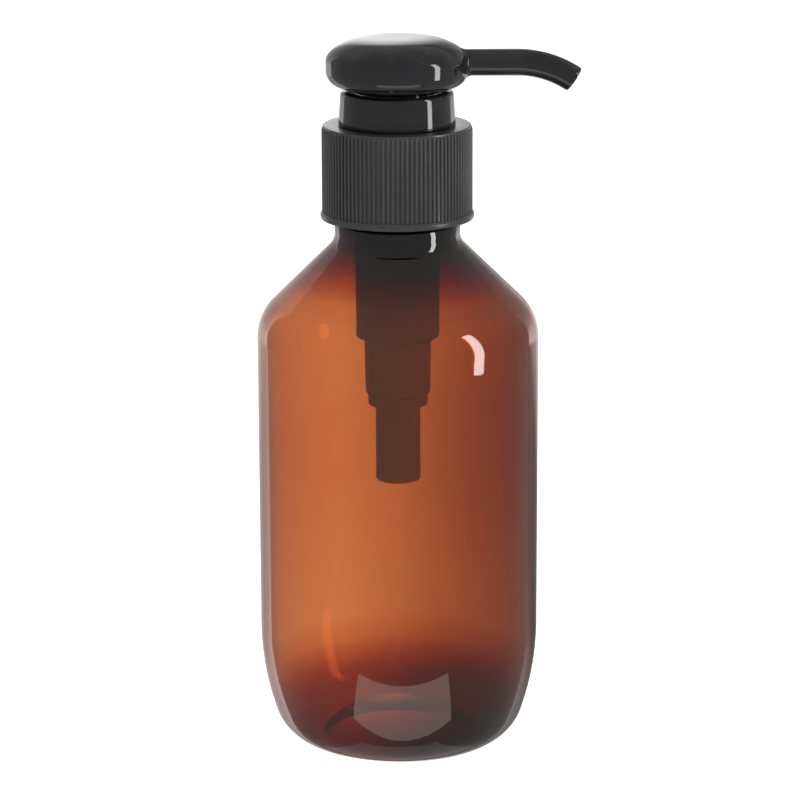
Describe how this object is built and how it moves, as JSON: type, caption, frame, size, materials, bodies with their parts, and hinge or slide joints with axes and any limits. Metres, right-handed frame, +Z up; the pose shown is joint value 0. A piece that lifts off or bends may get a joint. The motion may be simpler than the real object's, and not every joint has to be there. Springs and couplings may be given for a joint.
{
  "type": "soap pump dispenser",
  "caption": "Round-shouldered amber plastic bottle with a ribbed screw closure and a twist-lock lotion pump whose head has a curved side spout.",
  "frame": {"origin": "on the bottle's axis, at the plane of the ring it stands on", "axes": "+Z up along the bottle's axis, +X the way the spout points at rest, -Y the front"},
  "size_m": [0.0722, 0.063, 0.1615],
  "materials": {
    "amber_plastic": "clear amber, polished",
    "gasket_foam": "soft foam",
    "natural_plastic": "milky, slightly see-through",
    "collar_black": "polished black",
    "closure_black": "satin black with upright ribs",
    "head_black": "polished black",
    "stem_black": "polished black",
    "plunger_white": "satin",
    "piston_white": "satin",
    "spring_steel": "drawn wire",
    "cage_white": "satin",
    "ball_steel": "polished"
  },
  "bodies": {
    "bottle": {"bottle": "amber_plastic"},
    "pump_body": {"pump_housing": "natural_plastic", "locking_collar": "collar_black", "gasket": "gasket_foam", "ball_cage": "cage_white"},
    "closure": {"closure": "closure_black"},
    "stroke_carriage": {"return_spring": "spring_steel"},
    "head_group": {"actuator_head": "head_black", "stem": "stem_black", "plunger": "plunger_white"},
    "piston": {"piston": "piston_white"},
    "inlet_ball": {"inlet_ball": "ball_steel"}
  },
  "joints": [
    {"name": "pump_lift", "type": "slide", "parent": "bottle", "child": "pump_body", "axis": [0, 0, 1], "range_m": [0, 0.00847]},
    {"name": "closure_turn", "type": "hinge", "parent": "pump_body", "child": "closure", "pos_m": [0, 0, 0.131], "axis": [0, 0, 1], "range_deg": [0, 720]},
    {"name": "head_stroke", "type": "slide", "parent": "pump_body", "child": "stroke_carriage", "axis": [0, 0, 1], "range_m": [0, 0.014], "deforming": ["return_spring"]},
    {"name": "head_swivel", "type": "hinge", "parent": "stroke_carriage", "child": "head_group", "pos_m": [0, 0, 0.153], "axis": [0, 0, 1], "continuous": true},
    {"name": "piston_float", "type": "slide", "parent": "head_group", "child": "piston", "axis": [0, 0, 1], "range_m": [0, 0.0012]},
    {"name": "inlet_ball_lift", "type": "slide", "parent": "pump_body", "child": "inlet_ball", "axis": [0, 0, 1], "range_m": [0, 0.0012]}
  ],
  "couplings": [
    {"joint": "pump_lift", "follows": "closure_turn", "m_per_rad": 0.0006737}
  ]
}
